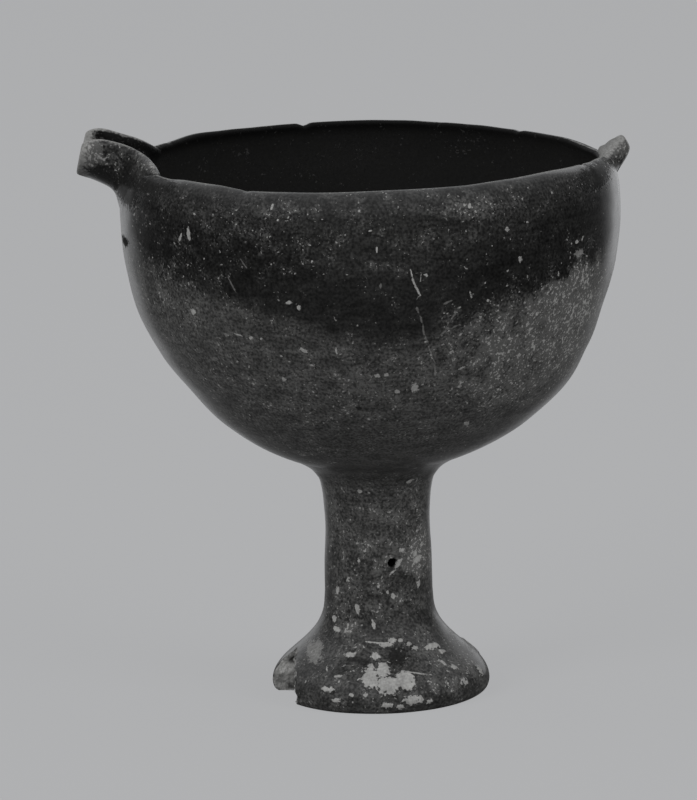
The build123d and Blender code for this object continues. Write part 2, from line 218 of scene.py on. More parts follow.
# Where pale dust lies thicker, and at the bowl's lower right and right edge partly painted sheen: x, z,
# half width, half height, how much
DUST_AND_SHEEN_PLACES = (
    (28, 157, 12, 7, 0.08), (46, 114, 34, 26, 0.13), (60, 130, 12, 15, 0.07), (-11, 26, 9, 12, 0.07),
    (0, 46, 19, 26, 0.06), (8, 100, 34, 18, 0.03), (12, 42, 7, 7, 0.13), (12, 54, 5, 16, 0.05),
    (-84, 168, 6, 7, 0.20), (-80, 167, 14, 9, 0.09), (-66, 166.5, 5, 4, 0.08), (-69, 153, 1.6, 8, 0.10),
    (76, 163, 8, 7, 0.13), (6, 10, 34, 16, 0.02), (22, 11, 14, 9, 0.06), (-25, 104, 46, 26, 0.035),
    (-62, 136, 16, 26, 0.05), (-38, 146, 24, 12, 0.04), (-21, 79, 14, 9, 0.06), (-30, 158, 40, 7, 0.02),
    (64, 118, 14, 26, 0.03),
)

# How finely each piece is turned
BOWL_TURNS = 420
STEM_TURNS = 240
FOOT_TURNS = 440
FINE = 0.45
MEDIUM = 1.1
COARSE = 2.2
MERGE_DISTANCE = 0.001
SHARP_CORNER = math.radians(50)


def eased(points, at):
    """Value at a place, eased between the two nearest of a few (place, value) points."""
    if at <= points[0][0]:
        return points[0][1]
    for (start, low), (end, high) in zip(points, points[1:]):
        if at <= end:
            share = (at - start) / (end - start)
            return low + (high - low) * share * share * (3 - 2 * share)
    return points[-1][1]


def unevenness(place, waves):
    """Sum of noises at a place, each with its depth and width."""
    return sum(depth * noise.noise(place / width) for depth, width in waves)


def azimuth_of(point):
    """Degrees round the cup from the front towards the lug."""
    return math.degrees(math.atan2(point.x, -point.y))


def apart(azimuth, other):
    """Degrees between two azimuths, the short way round."""
    return (azimuth - other + 180) % 360 - 180


def bowl_radius(height, belly, depth, rim):
    """Radius of the bowl's outside or inside at a height."""
    if height >= BELLY_HEIGHT:
        level = (height - BELLY_HEIGHT) / RIM_RISE
        return belly - (belly - rim) * level**RIM_CURL
    share = min((BELLY_HEIGHT - height) / depth, 1)
    return belly * (1 - share**BOWL_FULLNESS) ** (1 / BOWL_FULLNESS)


def outside_radius(height):
    return bowl_radius(height, BELLY_RADIUS, BOWL_DEPTH, BELLY_RADIUS - RIM_TURN_IN)


def inside_radius(height):
    rim = BELLY_RADIUS - RIM_TURN_IN - RIM_WALL
    return bowl_radius(height, BELLY_RADIUS - BOWL_WALL, BOWL_DEPTH - FLOOR_WALL, rim)


def curve_through(points, spacing):
    """A smooth line through a few points of radius and height, in steps of about the same length."""
    knots = [Vector((radius, 0, height)) for radius, height in points]
    line = []
    for index, (start, end) in enumerate(zip(knots, knots[1:])):
        before = knots[max(index - 1, 0)]
        after = knots[min(index + 2, len(knots) - 1)]
        steps = max(round((end - start).length / spacing), 1) + 1
        leaving, arriving = start + (end - before) / 6, end - (after - start) / 6
        line += interpolate_bezier(start, leaving, arriving, end, steps)[:-1]
    return [(point.x, point.z) for point in line] + [points[-1]]


def straight(start, end, spacing):
    """Points from one corner to the next, without the last one."""
    steps = max(round(math.dist(start, end) / spacing), 1)
    return [tuple(a + (b - a) * step / steps for a, b in zip(start, end)) for step in range(steps)]


def flank(start_radius, belly, depth, spacing):
    """Lower curve of the bowl from a radius out to the belly."""
    power = 2 / BOWL_FULLNESS
    first = math.asin((start_radius / belly) ** (1 / power))
    steps = round((math.pi / 2 - first) * belly / spacing)
    turns = [first + (math.pi / 2 - first) * step / steps for step in range(steps + 1)]
    return [(belly * math.sin(a) ** power, BELLY_HEIGHT - depth * math.cos(a) ** power) for a in turns]


def turned(outline, turns, closed):
    """Spins an outline of (radius, height) round the cup's axis."""
    shape = bmesh.new()
    verts = [shape.verts.new((0, -radius, height)) for radius, height in outline]
    pairs = list(zip(verts, verts[1:]))
    if closed:
        pairs.append((verts[-1], verts[0]))
    edges = [shape.edges.new(pair) for pair in pairs]
    bmesh.ops.spin(
        shape, geom=verts + edges, cent=(0, 0, 0), axis=(0, 0, 1), angle=2 * math.pi, steps=turns,
        use_merge=True,
    )
    bmesh.ops.remove_doubles(shape, verts=shape.verts, dist=MERGE_DISTANCE)
    bmesh.ops.recalc_face_normals(shape, faces=shape.faces)
    return shape


def hand_marks(point):
    """How far the potter's hands left the wall out of true at a place."""
    dents = DENT_DEPTH * noise.noise(point / DENT_WIDTH)
    return dents + FINGER_DEPTH * noise.noise(point / FINGER_WIDTH + FINGER_SHIFT)


def press_by_hand(shape):
    """Notes the marks, and gives every piece the same unevenness, so that joined pieces still meet."""
    note_marks(shape)
    for vert in shape.verts:
        place = vert.co.copy()
        outward = Vector((place.x, place.y, 0))
        if outward.length > STEM_BORE + 1:
            vert.co += outward.normalized() * hand_marks(place)
        vert.co.x += eased(BOWL_SWAY, place.z)


def painted(shape, name, measure):
    """Writes a value for the finish on every vertex."""
    layer = shape.verts.layers.float.new(name)
    for vert in shape.verts:
        vert[layer] = measure(vert.co)


def note_marks(shape):
    """Writes on each vertex the dust there, partly painted sheen at the bowl's right, and its place in a
    mark: across, along, and how pale it is.
    """
    dust_and_sheen = shape.verts.layers.float.new("dust_and_sheen")
    layers = [shape.verts.layers.float_vector.new(name) for name in MARK_LAYERS]
    turns = [Matrix.Rotation(math.radians(mark[4]), 2) for mark in MARKS]
    for vert in shape.verts:
        place = vert.co
        for x, z, half_width, half_height, amount in DUST_AND_SHEEN_PLACES:
            away = math.hypot((place.x - x) / half_width, (place.z - z) / half_height)
            if away < 1:
                vert[dust_and_sheen] += amount * (1 - away * away)
        for layer in layers:
            vert[layer] = FAR
        seen_x = place.x if place.y < 0 else -place.x
        for index, (x, z, half_width, half_height, _, paleness) in enumerate(MARKS):
            reach = max(half_width, half_height) + 2 * MARK_MARGIN
            if abs(place.z - z) > reach or abs(seen_x - x) > reach:
                continue
            across, along = turns[index] @ Vector((seen_x - x, place.z - z))
            outside = max(abs(across) - half_width, abs(along) - half_height)
            layer = layers[index % len(layers)]
            if outside < MARK_MARGIN:
                vert[layer] = Vector((across / half_width, along / half_height, paleness))
            elif outside < 2 * MARK_MARGIN and vert[layer] == FAR:
                vert[layer] = Vector((across / half_width, along / half_height, 0))


def piece_from(shape, name, slot):
    """Moves a shape into the frame as a finished piece that stands for its solid."""
    bmesh.ops.transform(shape, matrix=TO_FRAME, verts=shape.verts)
    mesh = bpy.data.meshes.new(name)
    shape.to_mesh(mesh)
    shape.free()
    mesh.polygons.foreach_set("use_smooth", [True] * len(mesh.polygons))
    mesh.set_sharp_from_angle(angle=SHARP_CORNER)
    mesh.materials.append(FINISHES[slot])
    piece = bpy.data.objects.new("clay_" + name, mesh)
    bpy.context.collection.objects.link(piece)
    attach(piece, "root")
    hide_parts(name)


# Bowl
def rim_offset(azimuth):
    """Height of the lip over its mean, with its nicks."""
    offset = eased(RIM_WAVE, azimuth)
    for middle, half_width, depth in LIP_NICKS:
        along = math.radians(apart(azimuth, middle)) * BELLY_RADIUS
        offset -= depth * math.exp(-((along / half_width) ** 2))
    return offset


def gap_height(y):
    """Height of the wall where it is cut down for the spout."""
    share = min(abs(y) / GAP_HALF_WIDTH, 1)
    return GAP_TOP - GAP_DEPTH * math.sqrt(1 - share * share)


def shape_bowl():
    lip_foot = RIM_HEIGHT - LIP_HEIGHT
    outside = flank(SEAT_RADIUS, BELLY_RADIUS, BOWL_DEPTH, MEDIUM)
    levels = straight((BELLY_HEIGHT,), (lip_foot,), MEDIUM)[1:]
    outside += [(outside_radius(level), level) for (level,) in levels]
    lip = []
    for step in range(LIP_STEPS + 1):
        angle = math.pi * step / LIP_STEPS
        height = lip_foot + LIP_HEIGHT * math.sin(angle)
        half_wall = (outside_radius(height) - inside_radius(height)) / 2
        lip.append((inside_radius(height) + half_wall * (1 + math.cos(angle)), height))
    inside = [(inside_radius(level), level) for (level,) in reversed(levels)]
    inside += list(reversed(flank(0, BELLY_RADIUS - BOWL_WALL, BOWL_DEPTH - FLOOR_WALL, COARSE)))
    shape = turned([(0, SEAT_HEIGHT)] + outside + lip + inside, BOWL_TURNS, closed=False)

    crest_radius = BELLY_RADIUS - RIM_TURN_IN - RIM_WALL / 2

    def on_inside(at):
        return float(math.hypot(at.x, at.y) < outside_radius(at.z) - RIM_WALL / 2)

    def lip_wear(at):
        off_crest = abs(math.hypot(at.x, at.y) - crest_radius) / LIP_EDGE
        return eased(LIP_WEAR, azimuth_of(at)) * max(0.0, 1 - off_crest) if at.z > lip_foot else 0.0

    painted(shape, "inside", on_inside)
    painted(shape, "wear_and_light", lip_wear)
    for vert in shape.verts:
        share = (vert.co.z - BELLY_HEIGHT) / RIM_RISE
        if share <= 0:
            continue
        top = RIM_HEIGHT + rim_offset(azimuth_of(vert.co)) * share
        if vert.co.x < 0 and abs(vert.co.y) < GAP_HALF_WIDTH:
            top = min(top, gap_height(vert.co.y))
        vert.co.z = BELLY_HEIGHT + share * (top - BELLY_HEIGHT)
    press_by_hand(shape)
    return shape


def drawn_out(shape, section, first):
    """Draws a section out by one ring and gives the new end; the first section stays as the far end."""
    drawn = bmesh.ops.extrude_face_region(shape, geom=section)["geom"]
    if not first:
        bmesh.ops.delete(shape, geom=[face for face in section if face.is_valid], context="FACES")
    return [part for part in drawn if isinstance(part, bmesh.types.BMFace)]


# Spout. Each ring from the mouth in to the bowl: lip x, y and z, the turn of its edge towards the rim in
# degrees, underside x and z, channel floor x and z, how far it stands off the bowl's wall, and how far the
# near lip is from a mirrored far lip in x, y and z.
SPOUT_RINGS = (
    (-84.6, 10.6, 170.0, 0, -86.9, 159.7, -86.0, 163.7, None, (0, 0, 0)),
    (-84.1, 10.9, 171.4, 0, -86.2, 159.1, -85.2, 163.4, None, (0, 0, 0)),
    (-80.2, 10.9, 172.3, 0, -82.4, 157.9, -81.5, 162.8, None, (0, 0, 0)),
    (-76.4, 9.8, 171.3, 0, -79.2, 156.3, -78.0, 162.0, None, (0, 0, 0.1)),
    (-73.4, 9.6, 170.3, 0, -77.0, 155.1, -75.0, 161.2, None, (0, 0, 0.2)),
    (-70.6, 10.8, 169.3, 10, -75.8, 153.8, -72.2, 160.4, None, (0, 0, 0.4)),
    (-68.2, 12.2, 168.1, 30, -75.1, 152.2, -70.3, 159.5, 0.9, (0, 0.6, 0.5)),
    (-66.3, 14.8, 166.6, 52, -74.7, 150.7, -69.2, 158.0, 0.5, (0, 1.7, 1.3)),
    (-64.9, 19.3, 164.9, 70, -74.4, 149.0, -68.7, 155.6, 0.12, (0.9, 4.2, 2.0)),
    (-63.2, 26.5, 163.0, 70, -73.7, 146.5, -69.9, 151.5, None, (2.4, 5.5, 0.4)),
)
INNER_STAND_OFF = 0.15
# How pale the first rings, the lips up to the flare, the flare's lips and the lips' flanks are worn; at the
# mouth the paleness is partly painted light on the channel's far wall
MOUTH_WEAR_AND_LIGHT = {0: 1.5, 1: 1.0, 2: 0.35}
LIP_PALENESS = 1.0
FLARE_START = 7
FLARE_WEAR = 0.65
FLANK_WEAR = 0.2
# Share of the way from the middle to a lip's end from which a place counts as on the lip
ON_LIP = 0.99


def spout_place(ring, across, through):
    """A place on a ring: across runs from lip to lip, through from the channel (-1) to the outside (1)."""
    lip_x, lip_y, lip_z, turn, under_x, under_z, floor_x, floor_z, stand_off, near_shift = ring
    turn = math.radians(turn)
    reach = SPOUT_WALL / 2 * through
    top = Vector((
        lip_x - math.sin(turn) * reach, lip_y + math.cos(turn) * reach, lip_z - SPOUT_LIP * abs(through)
    ))
    top += Vector(near_shift) * max(-across, 0)
    outer, inner = Vector((under_x, 0, under_z)), Vector((floor_x, 0, floor_z))
    bottom = inner.lerp(outer, (through + 1) / 2)
    angle = abs(across) * math.pi / 2
    place = Vector((
        bottom.x + (top.x - bottom.x) * (1 - math.cos(angle)),
        math.copysign(top.y * math.sin(angle), across),
        top.z - (top.z - bottom.z) * math.cos(angle),
    ))
    if stand_off is not None and place.z < RIM_HEIGHT and through:
        radius = outside_radius(place.z) if through > 0 else inside_radius(place.z)
        wall = -math.sqrt(radius**2 - place.y**2)
        place.x = min(place.x, wall - stand_off) if through > 0 else max(place.x, wall + INNER_STAND_OFF)
    return place


def spout_wear_and_light(index, on_lip, through):
    """How pale a ring of the spout is worn at a place, with painted light at the mouth."""
    edge = LIP_PALENESS if index < FLARE_START else FLARE_WEAR
    return max((FLANK_WEAR if through else edge) * on_lip, MOUTH_WEAR_AND_LIGHT.get(index, 0.0))


def shape_spout():
    shape = bmesh.new()
    bmesh.ops.create_grid(shape, x_segments=SPOUT_SIDES, y_segments=2, size=1)
    across = shape.verts.layers.float.new("across")
    through = shape.verts.layers.float.new("through")
    wear_and_light = shape.verts.layers.float.new("wear_and_light")
    inside = shape.verts.layers.float.new("inside")
    for vert in shape.verts:
        vert[across], vert[through] = vert.co.x, vert.co.y
    section = shape.faces[:]
    for index, ring in enumerate(SPOUT_RINGS):
        if index:
            section = drawn_out(shape, section, index == 1)
        for vert in {vert for face in section for vert in face.verts}:
            vert.co = spout_place(ring, vert[across], vert[through])
            vert[wear_and_light] = spout_wear_and_light(index, abs(vert[across]) > ON_LIP, vert[through])
            vert[inside] = float(vert[through] < 0 and index > 0)
    bmesh.ops.recalc_face_normals(shape, faces=shape.faces)
    return shape


# Lug. Each ring from the tip in to the wall: middle x, y and z, half width, half thickness, and its lean
# from upright towards the bowl in degrees.
LUG_RINGS = (
    (76.9, 5.4, 164.7, 1.9, 1.6, 29),
    (76.4, 5.4, 164.4, 3.3, 2.7, 29),
    (75.0, 5.3, 162.7, 4.6, 3.5, 28),
    (73.1, 5.2, 161.0, 7.0, 4.3, 24),
    (71.9, 5.1, 159.2, 10.6, 4.7, 19),
    (70.6, 5.0, 157.8, 16.0, 5.5, 12),
    (68.6, 5.0, 157.2, 19.0, 5.0, 10),
)
# Painted light: the lug's upper side is painted pale in the worn clay's tone, most at its top
LUG_TOP_LIGHT = 1.5


def shape_lug():
    shape = bmesh.new()
    bmesh.ops.create_circle(shape, cap_ends=True, segments=LUG_SIDES, radius=1)
    wide = shape.verts.layers.float.new("wide")
    thick = shape.verts.layers.float.new("thick")
    wear_and_light = shape.verts.layers.float.new("wear_and_light")
    for vert in shape.verts:
        vert[wide], vert[thick] = vert.co.x, vert.co.y
    section = shape.faces[:]
    for index, (x, y, z, half_width, half_thickness, lean) in enumerate(LUG_RINGS):
        if index:
            section = drawn_out(shape, section, index == 1)
        up = Vector((-math.sin(math.radians(lean)), 0, math.cos(math.radians(lean))))
        for vert in {vert for face in section for vert in face.verts}:
            vert.co = Vector((x, y + half_width * vert[wide], z)) + up * half_thickness * vert[thick]
            # Paler towards the top: painted light
            vert[wear_and_light] = LUG_TOP_LIGHT * max(0.0, vert[thick])
    bmesh.ops.recalc_face_normals(shape, faces=shape.faces)
    return shape


def smoothed(shape):
    """The shape with its surfaces subdivided and rounded."""
    mesh = bpy.data.meshes.new("rough")
    shape.to_mesh(mesh)
    shape.free()
    rough = bpy.data.objects.new("rough", mesh)
    bpy.context.collection.objects.link(rough)
    rounding = rough.modifiers.new("rounding", "SUBSURF")
    rounding.levels = rounding.render_levels = ROUNDING_LEVELS
    fine = bpy.data.meshes.new_from_object(rough.evaluated_get(bpy.context.evaluated_depsgraph_get()))
    bpy.data.objects.remove(rough)
    bpy.data.meshes.remove(mesh)
    shape = bmesh.new()
    shape.from_mesh(fine)
    bpy.data.meshes.remove(fine)
    return shape


# Stem
def shape_stem():
    shaft = curve_through([(STEM_RADIUS, FOOT_NECK), *STEM_SHAFT, (STEM_RADIUS, COLLAR_FOOT)], FINE)
    peg_top = SEAT_HEIGHT + PEG_LENGTH
    corners = [
        (SEAT_RADIUS, COLLAR_FOOT), (SEAT_RADIUS, SEAT_HEIGHT), (PEG_RADIUS, SEAT_HEIGHT),
        (PEG_RADIUS, peg_top), (0, peg_top),
    ]
    hollow = [
        (0, STEM_ROOF), (STEM_BORE, STEM_ROOF), (STEM_BORE, SPIGOT_LOW), (SPIGOT_RADIUS, SPIGOT_LOW),
        (SPIGOT_RADIUS, FOOT_NECK),
    ]
    shape = turned(shaft + corners + hollow, STEM_TURNS, closed=True)
    drill_vent(shape)
    press_by_hand(shape)
    return shape


def drill_vent(shape):
    """Sinks the round vent into the stem."""
    azimuth = math.radians(VENT_AZIMUTH)
    inward = Vector((-math.sin(azimuth), math.cos(azimuth), 0))
    sideways = Vector((math.cos(azimuth), math.sin(azimuth), 0))

    def offset(place):
        return Vector((place.dot(sideways), place.z - VENT_HEIGHT))

    def faces_outward(place):
        return place.dot(inward) < -SPIGOT_RADIUS

    for vert in shape.verts:
        away = offset(vert.co)
        if faces_outward(vert.co) and abs(away.length - VENT_RADIUS) < VENT_SNAP:
            moved = away.normalized() * VENT_RADIUS - away
            vert.co += sideways * moved.x + Vector((0, 0, moved.y))
    inside = []
    for face in shape.faces:
        middle = face.calc_center_median()
        if faces_outward(middle) and offset(middle).length < VENT_RADIUS - VENT_SLACK:
            inside.append(face)
    sunk = bmesh.ops.extrude_face_region(shape, geom=inside)["geom"]
    floor = [part for part in sunk if isinstance(part, bmesh.types.BMVert)]
    bmesh.ops.translate(shape, verts=floor, vec=inward * VENT_DEPTH)
    bmesh.ops.delete(shape, geom=[face for face in inside if face.is_valid], context="FACES")


# Collar
def shape_stem_collar():
    cove = curve_through([(STEM_RADIUS, COLLAR_FOOT), *COLLAR_COVE], FINE)
    shape = turned([*cove, *COLLAR_HIDDEN], STEM_TURNS, closed=True)
    press_by_hand(shape)
    return shape


# Foot
def crust_at(place):
    """How deep inside a patch of crust a place is, from 0 (bare) to 1."""
    azimuth = azimuth_of(place)
    lobes = unevenness(place, CRUST_LOBES)
    most = 0.0
    for middle, height, half_width, half_height, fullness in CRUST_PATCHES:
        along = math.radians(apart(azimuth, middle)) * math.hypot(place.x, place.y)
        away = math.hypot(along / half_width, (place.z - height) / half_height)
        most = max(most, fullness - away + lobes)
    return min(most, 1.0)


def break_chip(shape):
    """Folds the foot's edge back along the two rough faces of the break."""
    broken = shape.verts.layers.float.new("broken")
    for vert in shape.verts:
        radius = math.hypot(vert.co.x, vert.co.y)
        level = Vector((0, 0, vert.co.z))
        inset = CHIP_INSET + unevenness(level, CHIP_INSET_WAVES)
        if vert.co.x > -inset or radius <= inset:
            continue
        front = math.sqrt(radius**2 - inset**2)
        rear = CHIP_SWAY * noise.noise(level / CHIP_SWAY_WIDTH + CHIP_SHIFT)
        rear = max(min(rear, CHIP_SWAY_LIMIT * front), -CHIP_SWAY_LIMIT * front)
        if -vert.co.y < rear:
            continue
        start, end = math.asin(rear / radius), math.acos(inset / radius)
        share = (math.atan2(-vert.co.y, -vert.co.x) - start) / (end - start)
        facing = radius * math.cos(start) - inset
        along = share * (facing + front - rear)
        edge = min(share, 1 - share, CHIP_FADE) / CHIP_FADE
        rough = CHIP_ROUGHNESS * edge * unevenness(vert.co, CHIP_GRAIN)
        if along < facing:
            vert.co.x, vert.co.y = along - facing - inset, rough - rear
        else:
            vert.co.x, vert.co.y = rough - inset, facing - along - rear
        vert[broken] = float(0 < share < 1)


def shape_foot():
    outside = curve_through([(STEM_RADIUS, FOOT_NECK), *FOOT_FLARE], FINE)
    hollow = curve_through([*FOOT_HOLLOW, (STEM_BORE, SPIGOT_LOW)], MEDIUM)
    socket = [(SPIGOT_RADIUS, SPIGOT_LOW), (SPIGOT_RADIUS, FOOT_NECK)]
    shape = turned(outside + hollow + socket, FOOT_TURNS, closed=True)
    break_chip(shape)
    broken = shape.verts.layers.float["broken"]
    crust = shape.verts.layers.float.new("crust")
    inside = shape.verts.layers.float.new("inside")
    for vert in shape.verts:
        outward = Vector((vert.co.x, vert.co.y, 0))
        on_outside = vert.normal.dot(outward) > 0 and vert.co.z > TABLE_MARGIN
        vert[inside] = 0.0 if on_outside or vert[broken] else 1.0
        if on_outside and not vert[broken]:
            vert[crust] = crust_at(vert.co)
            rise = min(vert[crust] / CRUST_EDGE, 1)
            vert.co += vert.normal * CRUST_THICKNESS * rise * rise * (3 - 2 * rise)
    press_by_hand(shape)
    return shape


# Finishes
class Socket:
    """A value in a finish, with plain arithmetic."""

    def __init__(self, tree, output):
        self.tree = tree
        self.output = output

    @classmethod
    def of(cls, tree, kind, settings, inputs, output=0):
        """Adds any node: its settings first, then the values and links of its inputs."""
        made = tree.nodes.new(kind)
        for name, setting in settings.items():
            setattr(made, name, setting)
        for name, value in inputs.items():
            if isinstance(value, Socket):
                tree.links.new(value.output, made.inputs[name])
            else:
                made.inputs[name].default_value = value
        return cls(tree, made.outputs[output])

    def node(self, kind, settings, inputs, output=0):
        return Socket.of(self.tree, kind, settings, inputs, output)

    def into(self, end):
        """Links this value to an input."""
        self.tree.links.new(self.output, end)

    def math(self, operation, first, second):
        return self.node("ShaderNodeMath", {"operation": operation}, {0: first, 1: second})

    def __add__(self, other):
        return self.math("ADD", self, other)

    def __sub__(self, other):
        return self.math("SUBTRACT", self, other)

    def __mul__(self, other):
        return self.math("MULTIPLY", self, other)

    def __truediv__(self, other):
        return self.math("DIVIDE", self, other)

    def __pow__(self, other):
        return self.math("POWER", self, other)

    def __rsub__(self, other):
        return self.math("SUBTRACT", other, self)

    def __rtruediv__(self, other):
        return self.math("DIVIDE", other, self)

    def __rpow__(self, other):
        return self.math("POWER", other, self)

    __radd__ = __add__
    __rmul__ = __mul__

    def least(self, other):
        return self.math("MINIMUM", self, other)

    def most(self, other):
        return self.math("MAXIMUM", self, other)

    def between(self, low, high):
        """0 below low and 1 above high, eased in between; falls instead when low is above high."""
        rising = low < high
        inputs = {"Value": self, "From Min": min(low, high), "From Max": max(low, high)}
        inputs.update({"To Min": 0.0 if rising else 1.0, "To Max": 1.0 if rising else 0.0})
        return self.node("ShaderNodeMapRange", {"interpolation_type": "SMOOTHSTEP"}, inputs)

    def towards(self, other, share):
        """This value, or the other one where share is 1."""
        return self.node("ShaderNodeMix", {"data_type": "FLOAT"}, {"Factor": share, "A": self, "B": other})

    def varied(self, depth):
        """A factor round 1, from this noise of 0 to 1: lower or higher by depth at most."""
        return (1 - depth) + 2 * depth * self

    def tinted(self, green, blue):
        """A nearly grey colour of this tone, with its shares of green and blue."""
        shares = {"Red": self, "Green": self * green, "Blue": self * blue}
        return self.node("ShaderNodeCombineColor", {}, shares)

    def parts(self):
        """The x, y and z of a place."""
        return [self.node("ShaderNodeSeparateXYZ", {}, {"Vector": self}, axis) for axis in "XYZ"]

    def grain(self, size, detail, stretch=(1, 1, 1), shift=(0, 0, 0)):
        """Cloudy noise from 0 to 1 with grains of a size in millimetres, drawn out by stretch."""
        inputs = {"Vector": self, "Location": shift, "Scale": [size * part for part in stretch]}
        place = self.node("ShaderNodeMapping", {"vector_type": "TEXTURE"}, inputs)
        return self.node("ShaderNodeTexNoise", {}, {"Vector": place, "Scale": 1.0, "Detail": detail})


# Tones of the clay as shares of light given back
RIM_CLAY = 0.028
DARK_CLAY = 0.014
# The lower bowl's paler tone is partly fire-clouding and partly painted reflection of the floor
LOW_CLAY_AND_REFLECTION = 0.073
# Inside the bowl, the spout's channel and the foot's hollow the clay is darker: partly its own sooty
# colour, partly painted shade
INSIDE_CLAY_AND_SHADE = 0.014
INSIDE_SPECK = 0.03
# Tone of pale haze, which at the bowl's right also stands for painted sheen
HAZE_AND_SHEEN = 0.13
# Tone of worn clay, also used for painted light on the lug's top and at the spout's mouth
WORN_AND_LIT_CLAY = 0.30
CRUST = 0.36
FRESH_BREAK = 0.25
SPECK = 0.38
MARK = 0.42
CLAY_TINT = (0.995, 0.97)
# The smoke-dark band sags under the front of the rim: lowest height, slope towards the sides, its middle,
# the roundness of its bend, half height, and how far clouds of smoke shift it
BAND_LOW = 127.0
BAND_SLOPE = 0.33
BAND_MIDDLE = 4.0
BAND_BEND = 120.0
BAND_HALF = 10.0
BAND_WAVER = 18
# Below the stem's top the clay darkens down to this share, and inside towards the lip
FOOT_SHADE = 0.65
FOOT_SHADE_RANGE = (15, 75)
LIP_SHADE = 0.3
LIP_SHADE_RANGE = (164, 158)
# Where each cover of the clay sets in and where it is full
LOW_RANGE = (0.3, 2.2)
SMOKE_RANGE = (1.7, 0.1)
HAZE_AND_SHEEN_RANGE = (0.56, 0.92)
SPECK_RANGE = (0.66, 0.76)
FLAKE_RANGE = (0.69, 0.75)
MARK_RANGE = (1.20, 0.80)
INSIDE_RANGE = (0.35, 0.65)
WEAR_AND_LIGHT_RANGE = (0.50, 1.05)
BREAK_RANGE = (0.3, 0.7)
CRUST_RANGE = (0.10, 0.28)
# How raggedly a mark ends, and the share by which smoke, specks, marks, pits, and wear with painted light
# hide the clay
RAGGEDNESS = 2.4
SMOKE_COVER = 0.9
SPECK_COVER = 0.9
MARK_COVER = 0.85
PIT_COVER = 0.8
WEAR_AND_LIGHT_COVER = 0.8
# Gloss of the bare and of the covered clay
BARE_ROUGHNESS = 0.34
COVERED_ROUGHNESS = 0.85
POLISH_ROUGHNESS = 0.2
SPECULAR = 0.2


